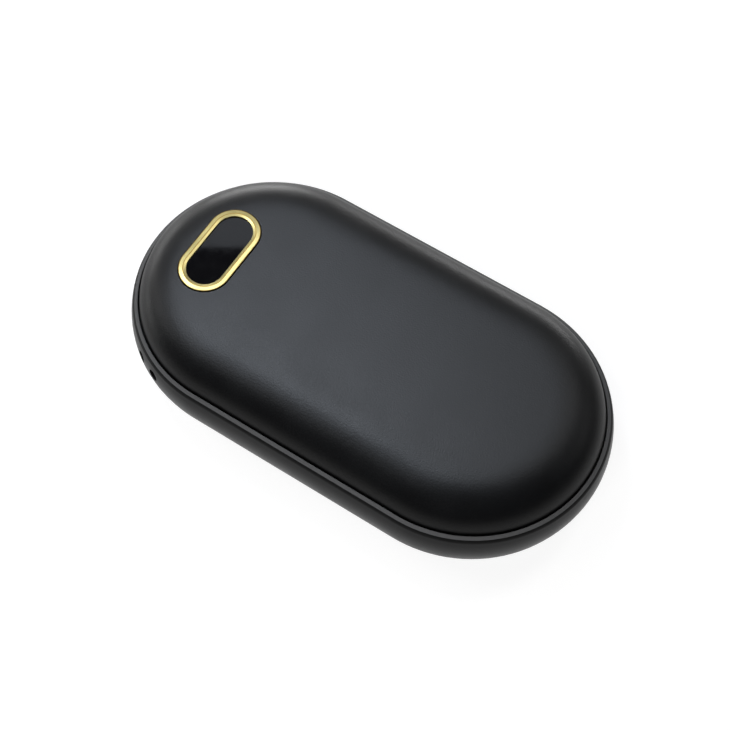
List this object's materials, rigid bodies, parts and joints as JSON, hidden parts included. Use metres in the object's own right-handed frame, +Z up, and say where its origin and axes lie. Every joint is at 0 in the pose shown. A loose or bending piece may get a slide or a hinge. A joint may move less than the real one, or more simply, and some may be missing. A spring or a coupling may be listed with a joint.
{
  "type": "rechargeable hand warmer",
  "caption": "Pill-shaped rechargeable hand warmer: domed matt covers on a moulded band, gold-rimmed charge display, side power key, charging socket and strap holes.",
  "frame": {"origin": "on the resting face, under the middle of the body", "axes": "+X along the body away from the display end, +Z up out of the top cover"},
  "size_m": [0.1121, 0.0616, 0.0246],
  "materials": {
    "cover_metal": "matt black anodised",
    "frame_plastic": "fine satin moulding",
    "seal_foam": "black bonding foam",
    "gold_plate": "polished gold plate",
    "smoked_lens": "smoked gloss",
    "module_plastic": "white reflector",
    "board": "green solder mask",
    "component": "moulded",
    "ferrite": "ferrite grey",
    "chip_ceramic": "tan ceramic",
    "socket_steel": "drawn steel",
    "key_plastic": "satin moulding",
    "plunger_plastic": "white moulding",
    "tray_plastic": "heat-resistant moulding",
    "cell_pouch": "laminated foil pouch",
    "tape": "double-sided tape",
    "red_lead": "silicone insulation",
    "black_lead": "silicone insulation",
    "white_lead": "silicone insulation",
    "heater_film": "amber film",
    "pad_felt": "white heat-resistant felt",
    "sensor_bead": "epoxy bead",
    "screw_steel": "plain steel"
  },
  "bodies": {
    "casing": {"top_cover": "cover_metal", "bottom_cover": "cover_metal", "mid_frame": "frame_plastic", "top_seal": "seal_foam", "bottom_seal": "seal_foam", "display_bezel": "gold_plate", "display_lens": "smoked_lens", "lens_gasket": "seal_foam", "display_module": "module_plastic", "display_board": "board", "display_header": "component", "main_board": "board", "control_chip": "component", "boost_inductor": "ferrite", "board_capacitors": "chip_ceramic", "usb_shell": "socket_steel", "usb_tongue": "component", "switch_body": "component", "battery_tray": "tray_plastic", "lower_cell": "cell_pouch", "upper_cell": "cell_pouch", "cell_tape": "tape", "protection_board": "board", "positive_lead": "red_lead", "negative_lead": "black_lead", "top_heater": "heater_film", "bottom_heater": "heater_film", "top_pad": "pad_felt", "bottom_pad": "pad_felt", "top_heater_leads": "white_lead", "bottom_heater_leads": "white_lead", "top_thermistor": "sensor_bead", "bottom_thermistor": "sensor_bead", "tray_screws": "screw_steel", "board_screws": "screw_steel"},
    "power_key": {"power_button": "key_plastic", "switch_plunger": "plunger_plastic"}
  },
  "joints": [
    {"name": "power_key_press", "type": "slide", "parent": "casing", "child": "power_key", "axis": [0.866, -0.5, 0], "range_m": [0, 0.00035], "stiffness_N_per_m": 4000}
  ]
}
